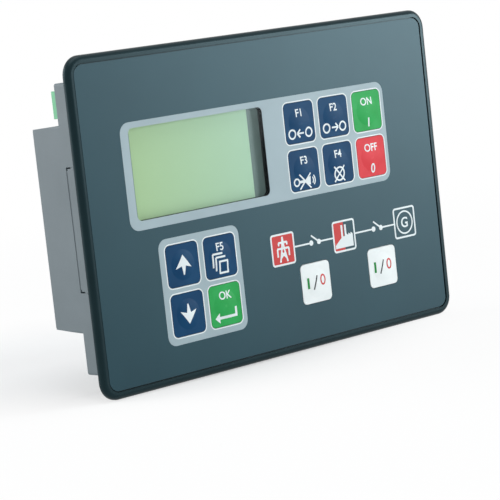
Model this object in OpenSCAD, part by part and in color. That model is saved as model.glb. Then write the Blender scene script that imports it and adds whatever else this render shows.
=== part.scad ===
// Generator set controller for panel mounting, millimetres.
// Row frame: X to the right seen from the front, Z up, the face looks along -Y.
// The origin is the middle of the panel seat, on the bezel's rear face.
// Each sub-part is drawn in the face frame: x right, y up, z towards the viewer.

/* [Bezel] */
// Width of the front bezel
bezel_w = 180; // [178:1:230]
// Height of the front bezel
bezel_h = 120; // [116:1:160]
// Thickness of the bezel, from the panel seat to the front rim
bezel_t = 2.4; // [2.2:0.1:9]
// Corner radius of the bezel outline
bezel_r = 7; // [5:0.1:12]
// Width of the raised rim around the keypad film
rim_w = 2.8; // [2:0.1:4]
// Rounding of the rim's outer edge
rim_round = 1.9; // [0.6:0.1:2.2]
// Thickness of the bezel's front wall behind the film
wall_t = 1.2; // [1:0.1:1.5]
// Width of the rear ring that seats on the panel
seat_w = 3; // [2.4:0.1:5]
// Width of the gasket cord in its groove
gasket_w = 1.4; // [1:0.1:1.8]
// Depth of the gasket groove
gasket_t = 1.1; // [0.6:0.1:2]

/* [Keypad film] */
// Depth of the film's front below the rim
film_inset = 0.3; // [0.2:0.05:0.6]
// Thickness of the keypad film
film_t = 0.5; // [0.3:0.05:0.8]
// Gap between the film's edge and the rim
film_gap = 0.4; // [0.1:0.05:0.6]

/* [Display] */
// Width of the display window
window_w = 64.4; // [50:0.1:72]
// Height of the display window
window_h = 32.6; // [25:0.1:38]
// Window centre, right of the middle of its room between the side bosses and the keys
window_x = -1.1; // [-2:0.025:2]
// Window centre, above the face centre
window_y = 16.2; // [14:0.05:18]
// Corner radius of the window
window_r = 2; // [1:0.1:4]
// Lap of the clear pane on the bezel wall
pane_lap = 1; // [0.6:0.1:1.4]
// Gap around the clear pane in the film
pane_gap = 0.1; // [0.05:0.05:0.3]
// Thickness of the foam seal between the bezel wall and the display frame
seal_t = 0.5; // [0.5:0.1:1.6]
// Thickness of the display glass
glass_t = 1.9; // [1.2:0.1:2.2]
// Reach of the glass past the window on each side
glass_margin = 2.4; // [1.6:0.1:3]
// Sheet thickness of the display frame
frame_t = 0.5; // [0.4:0.1:1]
// Lip of the display frame over the glass
frame_lip = 1.4; // [1:0.1:2]
// Gap between the glass and the frame around it
frame_gap = 0.2; // [0.1:0.05:0.4]

/* [Keys] */
// Side of a key
key_size = 15; // [12:0.1:17]
// Corner radius of a key
key_r = 1.8; // [1:0.1:3]
// Gap between a key and its opening
key_gap = 0.2; // [0.15:0.05:0.4]
// Height of the key's edge above the film
key_proud = 0.1; // [0:0.05:0.2]
// Travel of a key
key_travel = 0.4; // [0.2:0.05:0.8]
// Space between neighbouring keys in a row
key_space_x = 3.1; // [2.2:0.1:5]
// Space between neighbouring keys in a column
key_space_y = 2.7; // [2:0.1:5]
// Diameter of the snap dome raised in a key
dome_d = 11; // [6:0.1:12]
// Height of the snap dome
dome_h = 0.4; // [0.1:0.05:0.5]
// Reach of the key's flange behind the wall
lip_w = 0.7; // [0.5:0.1:0.9]
// Thickness of the key's flange
lip_t = 1; // [0.6:0.1:1.4]
// Diameter of the key's stem
stem_d = 3.3; // [2.4:0.1:3.8]
// Centre of the command keys' first column
command_x = 16.9; // [15:0.05:20]
// Centre of the command keys' top row
command_y = 24.4; // [22:0.05:26]
// Centre of the navigation keys' first column
nav_x = -47.7; // [-50:0.05:-44]
// Centre of the navigation keys' top row
nav_y = -18.3; // [-20:0.05:-16]
// Centre of the breaker keys
breaker_y = -35.8; // [-38:0.05:-34]

/* [Mimic lamps] */
// Height of the mimic diagram's lamps
mimic_y = -21; // [-23:0.1:-18]
// Mains lamp
mains_x = 1.8; // [-2:0.1:4]
// Load lamp
load_x = 34.1; // [30:0.1:38]
// Generator lamp
generator_x = 67.7; // [64:0.1:69]
// Diameter of a light well in the bezel wall
well_d = 5; // [3:0.1:6]
// Height of a lamp on the main board
lamp_h = 1.1; // [0.6:0.1:2]

/* [Key switches] */
// Side of a key switch
switch_size = 6; // [5:0.1:8]
// Height of a key switch
switch_h = 2.8; // [2.7:0.1:5]
// Room between a pressed key's flange and its switch
press_room = 0.4; // [0.3:0.1:1]
// Depth of the stem in the switch at rest
stem_in = 0.4; // [0.2:0.1:0.8]
// Gap between the stem and the switch's bore
stem_gap = 0.3; // [0.2:0.05:0.5]

/* [Boards] */
// Thickness of a circuit board
board_t = 1.6; // [1:0.1:2]
// Gap between the main board and the housing wall
board_gap = 0.4; // [0.2:0.1:1]
// Room behind the main board for solder joints
solder_room = 1.6; // [1.5:0.1:3]
// Length of the spacers between the boards
spacer_h = 5.6; // [5:0.1:10]
// Width of a spacer over its flats
spacer_w = 5; // [4.5:0.1:6]
// Gap from the cover posts to the power board
power_side = 1.5; // [1:0.1:4]
// Gap from the housing wall to the power board's long edges
power_edge = 4; // [3:0.1:5]
// Inset of the spacers from the power board's edges
spacer_inset = 4; // [3.5:0.1:5]
// Diameter of a board boss on the bezel
boss_d = 5.2; // [4.6:0.1:6]
// Inset of the side bosses from the main board's edge
boss_side = 8; // [7.5:0.1:9]
// Height of the side bosses off the middle
boss_y = 14; // [10:0.5:18]
// Room between the upper boss and the key flange below it
boss_room = 0.8; // [0.4:0.1:1.2]

/* [Screws] */
// Shank diameter of a board screw
screw_d = 2.2; // [1.8:0.1:2.5]
// Head diameter of a board screw
screw_head_d = 4; // [3.6:0.1:4.4]
// Head height of a board screw
screw_head_h = 1.5; // [1:0.1:1.8]
// Shank length of a board screw below the board
screw_l = 3.6; // [3:0.1:4.4]
// Gap around a screw's shank
screw_gap = 0.1; // [0.05:0.05:0.2]
// Shank diameter of a cover screw
cover_screw_d = 2.9; // [2.4:0.1:3.2]
// Head diameter of a cover screw
cover_screw_head = 5.8; // [5:0.1:6.4]
// Length of a cover screw
cover_screw_l = 12; // [8:0.5:16]

/* [Housing] */
// Height of the shallow body
body_h = 102; // [100:0.5:108]
// Wall of the rear cover
cover_wall = 2; // [1.6:0.1:2.4]
// Depth of the flange that fills the panel cut-out
flange_t = 3.4; // [2:0.1:4]
// Rounding of the cover's corners
cover_r = 0.8; // [0.6:0.1:2]
// Rounding of the cover's rear edges
cover_edge = 0.4; // [0.2:0.1:0.6]
// Draft of the deep box's long walls, from the ledges to the back
deep_draft = 1; // [0.2:0.1:2]
// Diameter of the posts for the cover screws
post_d = 7; // [6:0.1:8]
// Gap around a post
post_gap = 0.4; // [0.3:0.1:0.8]
// Gap between the posts and the cover's long walls
post_clear = 0.8; // [0.5:0.1:2]
// Gap between the posts and the cover's end walls
post_side = 3.3; // [3:0.1:4]
// Height of the fixing pocket in each end wall
pocket_h = 44; // [30:0.1:50]
// Depth of the fixing pocket
pocket_t = 0.15; // [0.1:0.05:1]
// Distance of the fixing pocket from the shallow body's back
pocket_back = 1.6; // [0.6:0.1:2]
// Height of a hook slot's upright at the pocket's ends
hook_h = 1.2; // [1:0.1:10]
// Width of a hook slot's foot
hook_w = 2.3; // [1:0.1:3]
// Thickness of a hook slot
hook_line = 0.5; // [0.4:0.1:0.9]
// Depth of a hook slot below the pocket
hook_t = 1.2; // [1:0.1:1.8]
// Wall left under a hook slot
hook_wall = 1; // [0.6:0.1:1.2]
// Width of the bare label field on the back
label_w = 96; // [40:1:120]
// Height of the bare label field
label_h = 44; // [20:1:50]
// Depth of the label field
label_t = 0.3; // [0.2:0.1:0.5]

/* [Terminal headers] */
// Least space between two headers in a row
header_space = 4; // [2:0.1:10]
// Pitch of the terminals
header_pitch = 3.81; // [3.5:0.01:5.08]
// Height of a terminal header
header_h = 9.6; // [8:0.1:10]
// Wall of a terminal header
header_wall = 0.9; // [0.6:0.1:1.2]
// Floor of a terminal header
header_floor = 2.4; // [2:0.1:3]
// Reach of the headers behind the shallow body
header_out = 5; // [3:0.1:7]
// Gap between a header and its slot in the cover
header_gap = 0.2; // [0.1:0.05:0.4]
// Ledge between the deep box and a header
ledge_in = 2.2; // [2.2:0.1:4]
// Ledge between a header and the body's outer face
ledge_out = 2.8; // [2.8:0.1:4]
// Gap between the outer headers and the end walls
header_end = 0.6; // [0.4:0.1:2]
// Side of a terminal pin
pin_w = 1; // [0.6:0.1:1.2]
// Height of a pin's tip below the header's mouth
pin_in = 1.2; // [0.8:0.1:2]

/* [Serial port] */
// Width of the port's flange
port_flange_w = 31; // [28:0.1:34]
// Height of the port's flange
port_flange_h = 12.4; // [11:0.1:12.8]
// Sheet thickness of the port's shell
port_sheet = 0.8; // [0.5:0.1:1]
// Width of the port's mouth
port_w = 17; // [15:0.1:18]
// Height of the port's mouth
port_h = 8.4; // [7:0.1:9]
// Reach of the port's shell behind its flange
port_out = 5.6; // [4:0.1:7]
// Gap between the port's core and its shell
port_gap = 0.25; // [0.1:0.05:0.4]
// Distance between the port's two nuts
port_nut_pitch = 25; // [24:0.1:26]
// Width of a port nut over its corners
port_nut_w = 5.2; // [4.5:0.1:5.6]

/* [Parts on the boards] */
// Length of an output relay
relay_l = 19; // [14:0.5:20]
// Width of an output relay
relay_w = 10.5; // [8:0.5:12]
// Height of an output relay
relay_h = 8.2; // [8:0.1:18]
// Space between relays
relay_space = 2; // [1:0.1:2.4]
// Space between the capacitors and the inductor
inductor_space = 4.7; // [1:0.1:6]
// Room between the tallest part and the rear wall
relay_room = 1; // [0.6:0.1:3]
// Diameter of a supply capacitor
capacitor_d = 12.5; // [8:0.5:13]
// Height of a supply capacitor
capacitor_h = 8; // [6:0.5:16]
// Diameter of the supply inductor
inductor_d = 14; // [10:0.5:16]
// Height of the supply inductor
inductor_h = 7.5; // [6:0.5:12]
// Width of a current transformer
sensor_w = 14; // [10:0.5:15]
// Height of a current transformer off the board
sensor_h = 8; // [6:0.5:16]
// Diameter of the clock battery
battery_d = 20; // [16:0.5:24]
// Thickness of the clock battery
battery_t = 3.2; // [1.6:0.1:3.2]
// Side of the processor
chip_w = 14; // [10:0.5:18]
// Thickness of the chips
chip_t = 1.4; // [0.8:0.1:1.8]
// Length of a driver chip
driver_l = 9.8; // [6:0.1:12]
// Width of a driver chip
driver_w = 5.6; // [4:0.1:8]
// Length of the connector between the boards
connector_l = 26; // [14:0.5:40]
// Width of the connector between the boards
connector_w = 5; // [4:0.1:6]

/* [Hidden] */
$fn = 48;
cut = 1;
// Levels, from the front rim to the back
film_front = bezel_t - film_inset;
film_back = film_front - film_t;
wall_back = film_back - wall_t;
key_front = film_front + key_proud;
lip_back = wall_back - lip_t;
switch_front = lip_back - key_travel - press_room;
board_front = switch_front - switch_h;
board_back = board_front - board_t;
body_back = board_back - solder_room - cover_wall;
power_front = board_back - spacer_h;
power_back = power_front - board_t;
tallest_part = max(relay_h, capacitor_h, inductor_h, sensor_h);
deep_floor = power_back - tallest_part - relay_room;
deep_back = deep_floor - cover_wall;
frame_front = wall_back - seal_t;
glass_front = frame_front - frame_t;
glass_back = glass_front - glass_t;
header_back = body_back - header_out;
header_base = board_back - header_floor;
port_flange_back = body_back - port_sheet;
port_back = port_flange_back - port_out;
// Outlines
film_w = bezel_w - 2 * (rim_w + film_gap);
film_h = bezel_h - 2 * (rim_w + film_gap);
pocket_r = bezel_r - rim_w;
flange_w = bezel_w - 2 * seat_w;
flange_h = bezel_h - 2 * seat_w;
gasket_inset = (seat_w - gasket_w) / 2;
body_w = flange_w;
ledge_h = ledge_in + header_h + ledge_out;
deep_h = body_h - 2 * ledge_h;
cavity_h = flange_h - 2 * cover_wall;
inner_w = body_w - 2 * cover_wall;
inner_h = body_h - 2 * cover_wall;
deep_inner_h = deep_h - 2 * cover_wall;
board_w = inner_w - 2 * board_gap;
board_h = inner_h - 2 * board_gap;
glass_w = window_w + 2 * glass_margin;
glass_h = window_h + 2 * glass_margin;
frame_w = glass_w + 2 * (frame_gap + frame_t);
frame_h = glass_h + 2 * (frame_gap + frame_t);
frame_open_w = glass_w - 2 * frame_lip;
frame_open_h = glass_h - 2 * frame_lip;
opening_size = key_size + 2 * key_gap;
lip_size = key_size + 2 * lip_w;
// Places of the keys
key_pitch_x = key_size + key_space_x;
key_pitch_y = key_size + key_space_y;
function command_at(column, row) = [command_x + column * key_pitch_x, command_y - row * key_pitch_y];
function nav_at(column, row) = [nav_x + column * key_pitch_x, nav_y - row * key_pitch_y];
function breaker_at(column) = [command_x + column * key_pitch_x, breaker_y];
KEY_PLACES = [
    nav_at(0, 0), nav_at(1, 0), nav_at(0, 1), nav_at(1, 1),
    command_at(0, 0), command_at(1, 0), command_at(2, 0),
    command_at(0, 1), command_at(1, 1), command_at(2, 1),
    breaker_at(0), breaker_at(2)
];
LAMP_PLACES = [[mains_x, mimic_y], [load_x, mimic_y], [generator_x, mimic_y]];
// Places of the headers: four cells along each ledge
header_row = inner_w - 2 * header_end;
header_room = (header_row - 3 * header_space) / 4 - 2 * header_wall;
header_ways = floor((header_room + pin_w) / header_pitch);
header_w = header_ways * header_pitch - pin_w + 2 * header_wall;
header_step = (header_row - header_w) / 3;
header_y = deep_h / 2 + ledge_in + header_h / 2;
function header_x(cell) = -header_row / 2 + header_w / 2 + cell * header_step;
function header_gap_x(cell) = (header_x(cell) + header_x(cell + 1)) / 2;
port_x = header_x(2);
// Places of the bosses, posts and spacers
boss_x = board_w / 2 - boss_side;
upper_boss_y = command_y + key_size / 2 + lip_w + boss_room + boss_d / 2;
BOSS_PLACES = [
    [-boss_x, boss_y], [boss_x, boss_y], [-boss_x, -boss_y], [boss_x, -boss_y],
    [header_gap_x(2), upper_boss_y], [header_gap_x(1), breaker_y]
];
window_room_left = boss_d / 2 - boss_x;
window_room_right = command_x - lip_size / 2;
window_mid_x = (window_room_left + window_room_right) / 2 + window_x;
post_x = inner_w / 2 - post_side - post_d / 2;
post_y = deep_inner_h / 2 - deep_draft - post_clear - post_d / 2;
POST_PLACES = [[-post_x, -post_y], [post_x, -post_y], [-post_x, post_y], [post_x, post_y]];
power_w = 2 * (post_x - post_d / 2 - power_side);
power_h = deep_inner_h - 2 * power_edge;
spacer_x = power_w / 2 - spacer_inset;
spacer_y = power_h / 2 - spacer_inset;
SPACER_PLACES = [[-spacer_x, -spacer_y], [spacer_x, -spacer_y], [-spacer_x, spacer_y], [spacer_x, spacer_y]];
cover_screw_taper = (cover_screw_head - cover_screw_d) / 2;
// Places of the parts on the boards
sensor_y = power_h / 4;
relay_y = -power_h / 4 - relay_room;
relay_step = relay_l + relay_space;
sensor_step = sensor_w + relay_space;
capacitor_step = capacitor_d + relay_space;
capacitor_x = power_w / 2 - spacer_inset - capacitor_d / 2;
inductor_x = capacitor_x - 2 * capacitor_step - capacitor_d / 2 - inductor_space - inductor_d / 2;
sensor_x = inductor_x - inductor_d / 2 - relay_space - sensor_w / 2;
connector_x = spacer_inset - spacer_x;
battery_x = -boss_x / 2;
holder_t = chip_t;
chip_row = chip_w + driver_w;
DRIVER_PLACES = [[-chip_w, -boss_y], [-chip_w, chip_row], [2 * chip_row, -boss_y], [2 * chip_row, chip_row]];
port_core_h = port_h - 2 * (port_sheet + port_gap);
port_core_w = port_w - 2 * (port_sheet + port_gap);
port_pin_x = port_core_w / 6;
port_pin_y = port_core_h / 5;

// Turns the face frame into the row frame
module face_frame() { rotate([90, 0, 0]) children(); }

// Straight prism of a flat shape between two levels
module between(low, high) { translate([0, 0, low]) linear_extrude(high - low) children(); }

// Rounded rectangle about the middle
module rounded(w, h, r) {
    square([w - 2 * r, h], center = true);
    square([w, h - 2 * r], center = true);
    for (sx = [-1, 1], sy = [-1, 1])
        translate([sx * (w / 2 - r), sy * (h / 2 - r)]) circle(r);
}

// A shape at the middle of the display
module at_display() { translate([window_mid_x, window_y]) children(); }

// Copies of one shape at a list of places
module at_each(places) { for (p = places) translate(p) children(); }

// A profile carried around a rounded rectangle, out from its corner centres
module carried_round(w, h, r) {
    for (c = [[1, 1, 0], [-1, 1, 90], [-1, -1, 180], [1, -1, 270]])
        translate([c[0] * (w / 2 - r), c[1] * (h / 2 - r), 0])
            rotate([0, 0, c[2]]) rotate_extrude(angle = 90) children();
    for (turn = [0, 180]) rotate([0, 0, turn]) {
        translate([-(w / 2 - r), h / 2 - r, 0]) rotate([90, 0, 90]) linear_extrude(w - 2 * r) children();
        translate([w / 2 - r, h / 2 - r, 0]) rotate([90, 0, 0]) linear_extrude(h - 2 * r) children();
    }
}

// What a rounding takes off the upper edge of a rounded block
module edge_waste(w, h, r, edge) {
    carried_round(w, h, r) translate([r - edge, -edge]) difference() {
        square([edge + cut, edge + cut]);
        circle(edge);
    }
}

// Cross recess in a screw head, cut from level 0 downwards
module cross_recess(span) {
    arm = span / 4;
    for (turn = [0, 90]) rotate([0, 0, turn])
        translate([-span / 2, -arm / 2, -arm]) cube([span, arm, arm + cut]);
}

// Outline of the gasket cord
module gasket_outline() difference() {
    rounded(bezel_w - 2 * gasket_inset, bezel_h - 2 * gasket_inset, bezel_r - gasket_inset);
    rounded(flange_w + 2 * gasket_inset, flange_h + 2 * gasket_inset, bezel_r - seat_w + gasket_inset);
}

// Front moulding: rim, film pocket, wall with openings, bosses and posts
module front_bezel() color([0.10, 0.11, 0.12]) face_frame() difference() {
    union() {
        difference() {
            between(0, bezel_t) rounded(bezel_w, bezel_h, bezel_r);
            translate([0, 0, bezel_t]) edge_waste(bezel_w, bezel_h, bezel_r, rim_round);
            between(film_back, bezel_t + cut) rounded(bezel_w - 2 * rim_w, bezel_h - 2 * rim_w, pocket_r);
            between(-cut, wall_back) rounded(inner_w, cavity_h, cover_r);
            between(-cut, gasket_t) gasket_outline();
        }
        at_each(BOSS_PLACES) between(board_front, wall_back) circle(d = boss_d);
        at_each(POST_PLACES) between(deep_floor, wall_back) circle(d = post_d);
    }
    at_display() between(wall_back - cut, film_back + cut)
        rounded(window_w, window_h, window_r);
    at_each(KEY_PLACES) between(wall_back - cut, film_back + cut)
        rounded(opening_size, opening_size, key_r + key_gap);
    at_each(LAMP_PLACES) between(wall_back - cut, film_back + cut) circle(d = well_d);
    at_each(BOSS_PLACES) between(board_front - cut, wall_back - screw_gap)
        circle(d = screw_d + 2 * screw_gap);
    at_each(POST_PLACES) between(deep_floor - cut, deep_back + cover_screw_l + cut)
        circle(d = cover_screw_d + 2 * screw_gap);
}

// Rubber cord in the groove of the panel seat
module panel_gasket() color([0.16, 0.16, 0.17]) face_frame() between(0, gasket_t) gasket_outline();

// Printed film in the bezel's pocket
module keypad_film() color([0.24, 0.31, 0.35]) face_frame() between(film_back, film_front) difference() {
    rounded(film_w, film_h, pocket_r - film_gap);
    at_display() pane_outline(pane_gap);
    at_each(KEY_PLACES) rounded(opening_size, opening_size, key_r + key_gap);
}

// Outline of the clear pane, grown all round
module pane_outline(grow) {
    rounded(window_w + 2 * (pane_lap + grow), window_h + 2 * (pane_lap + grow), window_r + pane_lap + grow);
}

// Clear pane over the display
module display_window() color([0.85, 0.90, 0.90, 0.35]) face_frame()
    at_display() between(film_back, film_front) pane_outline(0);

// One key: cap with its dome, flange behind the wall and stem
module key_at(place, paint) color(paint) face_frame() translate(place) {
    dome_ball = (dome_d * dome_d / 4 + dome_h * dome_h) / (2 * dome_h);
    between(wall_back, key_front) rounded(key_size, key_size, key_r);
    between(lip_back, wall_back) rounded(lip_size, lip_size, key_r);
    between(switch_front - stem_in, lip_back) circle(d = stem_d);
    intersection() {
        translate([0, 0, key_front + dome_h - dome_ball]) sphere(dome_ball, $fn = 240);
        between(wall_back, key_front + dome_h) circle(d = dome_d);
    }
}

KEY_BLUE = [0.09, 0.26, 0.42];
KEY_GREEN = [0.20, 0.62, 0.32];
KEY_RED = [0.88, 0.27, 0.29];
KEY_WHITE = [0.95, 0.95, 0.95];
module key_up() key_at(nav_at(0, 0), KEY_BLUE);
module key_page() key_at(nav_at(1, 0), KEY_BLUE);
module key_down() key_at(nav_at(0, 1), KEY_BLUE);
module key_enter() key_at(nav_at(1, 1), KEY_GREEN);
module key_mode_left() key_at(command_at(0, 0), KEY_BLUE);
module key_mode_right() key_at(command_at(1, 0), KEY_BLUE);
module key_start() key_at(command_at(2, 0), KEY_GREEN);
module key_horn_reset() key_at(command_at(0, 1), KEY_BLUE);
module key_fault_reset() key_at(command_at(1, 1), KEY_BLUE);
module key_stop() key_at(command_at(2, 1), KEY_RED);
module key_mains_breaker() key_at(breaker_at(0), KEY_WHITE);
module key_generator_breaker() key_at(breaker_at(2), KEY_WHITE);

// Foam ring between the bezel wall and the display frame
module display_seal() color([0.08, 0.08, 0.08]) face_frame()
    at_display() between(frame_front, wall_back) difference() {
        rounded(frame_w, frame_h, window_r);
        rounded(window_w, window_h, window_r);
    }

// Pressed sheet frame that holds the display on the board
module display_frame() color([0.25, 0.26, 0.27]) face_frame() at_display() difference() {
    between(board_front, frame_front) square([frame_w, frame_h], center = true);
    between(board_front - cut, glass_front)
        square([glass_w + 2 * frame_gap, glass_h + 2 * frame_gap], center = true);
    between(board_front, frame_front + cut) rounded(frame_open_w, frame_open_h, window_r);
}

// Liquid crystal cell
module display_glass() color([0.68, 0.80, 0.66]) face_frame()
    at_display() between(glass_back, glass_front) square([glass_w, glass_h], center = true);

// Light guide behind the cell, on the board
module display_light_guide() color([0.92, 0.95, 0.90]) face_frame()
    at_display() between(board_front, glass_back) square([glass_w, glass_h], center = true);

// Main board with holes for the posts and screws
module main_board() color([0.08, 0.33, 0.20]) face_frame() between(board_back, board_front) difference() {
    rounded(board_w, board_h, cover_r);
    at_each(POST_PLACES) circle(d = post_d + 2 * post_gap);
    at_each(BOSS_PLACES) circle(d = screw_d + 2 * screw_gap);
}

// Key switches with a bore for each key's stem
module key_switches() color([0.18, 0.18, 0.19]) face_frame() at_each(KEY_PLACES) difference() {
    between(board_front, switch_front) square(switch_size, center = true);
    between(switch_front - stem_in - key_travel - press_room, switch_front + cut)
        circle(d = stem_d + 2 * stem_gap);
}

// Lamps under the mimic diagram
module mimic_lamps() color([0.95, 0.93, 0.75]) face_frame() at_each(LAMP_PLACES)
    between(board_front, board_front + lamp_h) square([well_d - 2 * stem_gap, well_d / 2], center = true);

// Processor on the back of the main board
module processor() color([0.07, 0.07, 0.08]) face_frame()
    translate([chip_w, chip_w / 2]) between(board_back - chip_t, board_back) square(chip_w, center = true);

// Driver chips along the top and bottom of the main board
module driver_chips() color([0.07, 0.07, 0.08]) face_frame()
    at_each(DRIVER_PLACES) between(board_back - chip_t, board_back)
        square([driver_l, driver_w], center = true);

// Holder for the clock battery
module battery_holder() color([0.12, 0.12, 0.13]) face_frame()
    translate([battery_x, 0]) between(board_back - holder_t, board_back) circle(d = battery_d + 2 * holder_t);

// Coin cell that keeps the clock running
module clock_battery() color([0.75, 0.76, 0.78]) face_frame()
    translate([battery_x, 0]) between(board_back - holder_t - battery_t, board_back - holder_t)
        circle(d = battery_d);

// One pan-head screw that enters a board from behind
module pan_screw(seat) difference() {
    union() {
        between(seat - screw_head_h, seat) circle(d = screw_head_d);
        between(seat - cut / 2, seat + board_t + screw_l) circle(d = screw_d);
    }
    translate([0, 0, seat - screw_head_h]) mirror([0, 0, 1]) cross_recess(screw_head_d * 0.6);
}

// Screws that hold the main board to the bezel
module board_screws() color([0.72, 0.73, 0.75]) face_frame() at_each(BOSS_PLACES) pan_screw(board_back);

// Hexagonal spacers between the boards
module board_spacers() color([0.80, 0.70, 0.40]) face_frame() at_each(SPACER_PLACES) difference() {
    between(power_front, board_back) circle(d = spacer_w, $fn = 6);
    between(power_front - cut, power_front + screw_l + cut) circle(d = screw_d + 2 * screw_gap);
}

// Plug-together connector between the boards
module board_connector() color([0.10, 0.10, 0.11]) face_frame()
    translate([connector_x, 0]) between(power_front, board_back)
        square([connector_w, connector_l], center = true);

// Power board in the deep box
module power_board() color([0.08, 0.33, 0.20]) face_frame() between(power_back, power_front) difference() {
    rounded(power_w, power_h, cover_r);
    at_each(SPACER_PLACES) circle(d = screw_d + 2 * screw_gap);
}

// Screws that hold the power board to the spacers
module power_board_screws() color([0.72, 0.73, 0.75]) face_frame()
    at_each(SPACER_PLACES) pan_screw(power_back);

// Output relays in a row
module output_relays() color([0.13, 0.22, 0.40]) face_frame() for (i = [-2.5:1:2.5])
    translate([i * relay_step, relay_y]) between(power_back - relay_h, power_back)
        square([relay_l, relay_w], center = true);

// Electrolytic capacitors of the supply
module supply_capacitors() color([0.14, 0.15, 0.18]) face_frame() for (i = [0:2])
    translate([capacitor_x - i * capacitor_step, sensor_y])
        between(power_back - capacitor_h, power_back) circle(d = capacitor_d);

// Wound inductor of the supply
module supply_inductor() color([0.62, 0.36, 0.20]) face_frame()
    translate([inductor_x, sensor_y]) between(power_back - inductor_h, power_back) circle(d = inductor_d);

// Current transformers of the measuring inputs
module current_sensors() color([0.15, 0.15, 0.16]) face_frame() for (i = [0:3])
    translate([sensor_x - i * sensor_step, sensor_y]) between(power_back - sensor_h, power_back)
        square([sensor_w, sensor_w], center = true);

// One terminal header: a tray on the main board, open to the back
module header_at(x, y) color([0.32, 0.72, 0.50]) face_frame() translate([x, y]) difference() {
    between(header_back, board_back) square([header_w, header_h], center = true);
    between(header_back - cut, header_base)
        square([header_w - 2 * header_wall, header_h - 2 * header_wall], center = true);
}

// Terminal pins that stand on the floor of the headers in the given cells
module pins_at(cells, y) color([0.78, 0.78, 0.76]) face_frame() for (cell = cells, i = [0:header_ways - 1])
    translate([header_x(cell) + (i - (header_ways - 1) / 2) * header_pitch, y])
        between(header_back + pin_in, header_base) square(pin_w, center = true);

module top_header_1() header_at(header_x(0), header_y);
module top_header_2() header_at(header_x(1), header_y);
module top_header_3() header_at(header_x(2), header_y);
module top_header_4() header_at(header_x(3), header_y);
module bottom_header_1() header_at(header_x(1), -header_y);
module bottom_header_2() header_at(header_x(3), -header_y);
module top_header_pins() pins_at([0, 1, 2, 3], header_y);
module bottom_header_pins() pins_at([1, 3], -header_y);

// Outline of the port's mouth: a rectangle with one short side
module port_outline(w, h) {
    slope = h / 6;
    polygon([[-w / 2, h / 2], [w / 2, h / 2], [w / 2 - slope, -h / 2], [-w / 2 + slope, -h / 2]]);
}

// Pressed shell of the serial port, seated on the ledge
module port_shell() color([0.75, 0.76, 0.78]) face_frame() translate([port_x, -header_y]) difference() {
    union() {
        between(port_flange_back, body_back) rounded(port_flange_w, port_flange_h, cover_r);
        between(port_back, body_back) port_outline(port_w, port_h);
    }
    between(port_back - cut, body_back + cut) port_outline(port_w - 2 * port_sheet, port_h - 2 * port_sheet);
    for (side = [-1, 1]) translate([side * port_nut_pitch / 2, 0])
        between(port_flange_back - cut, body_back + cut) circle(d = screw_d + 2 * screw_gap);
}

// Plastic core of the serial port with nine sockets, soldered to the main board
module port_core() color([0.10, 0.12, 0.16]) face_frame() translate([port_x, -header_y]) difference() {
    between(port_back, board_back) port_outline(port_core_w, port_core_h);
    for (row = [0, 1], i = [0:4 - row])
        translate([(i - 2 + row / 2) * port_pin_x, (1 - 2 * row) * port_pin_y])
            between(port_back - cut, port_back + pin_in * 2) circle(d = pin_w);
}

// Hexagonal nuts beside the serial port
module port_nuts() color([0.75, 0.76, 0.78]) face_frame() for (side = [-1, 1])
    translate([port_x + side * port_nut_pitch / 2, -header_y]) difference() {
        union() {
            between(port_back, port_flange_back) circle(d = port_nut_w, $fn = 6);
            between(port_flange_back - cut / 2, body_back + cover_wall) circle(d = screw_d);
        }
        between(port_back - cut, port_flange_back - cut) circle(d = screw_d);
    }

// What the draft takes off the upper wall of the deep box, from a height at the ledge
module draft_waste(half) {
    deep_end = deep_back - body_back;
    waste_end = deep_end - cut;
    translate([-body_w / 2 - cut, half, body_back]) rotate([90, 0, 90]) linear_extrude(body_w + 2 * cut)
        polygon([[0, 0], [cut, 0], [cut, waste_end], [-deep_draft, waste_end], [-deep_draft, deep_end]]);
}

// Side cuts of one end wall: pocket and its two hook slots
module side_cuts() {
    pocket_low = body_back + pocket_back;
    translate([body_w / 2 - pocket_t, -pocket_h / 2, pocket_low])
        cube([pocket_t + cut, pocket_h, -pocket_low - seat_w / 2]);
    slot_d = hook_t + cut;
    for (side = [-1, 1]) translate([body_w / 2 - pocket_t - hook_t, side * pocket_h / 2, pocket_low]) {
        translate([0, -(side + 1) * hook_h / 2, 0]) cube([slot_d, hook_h, hook_line]);
        translate([0, -(side + 1) * hook_line / 2, 0]) cube([slot_d, hook_line, hook_w]);
    }
}

// Inner pads that back the hook slots of one end wall
module hook_pads() {
    pad_w = pocket_t + hook_t + hook_wall;
    pad_low = body_back + pocket_back - hook_wall;
    for (side = [-1, 1])
        translate([body_w / 2 - pad_w, side * (pocket_h - hook_h) / 2 - hook_h / 2 - hook_wall, pad_low])
            cube([pad_w - cut, hook_h + 2 * hook_wall, board_back - board_gap - pad_low]);
}

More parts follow.
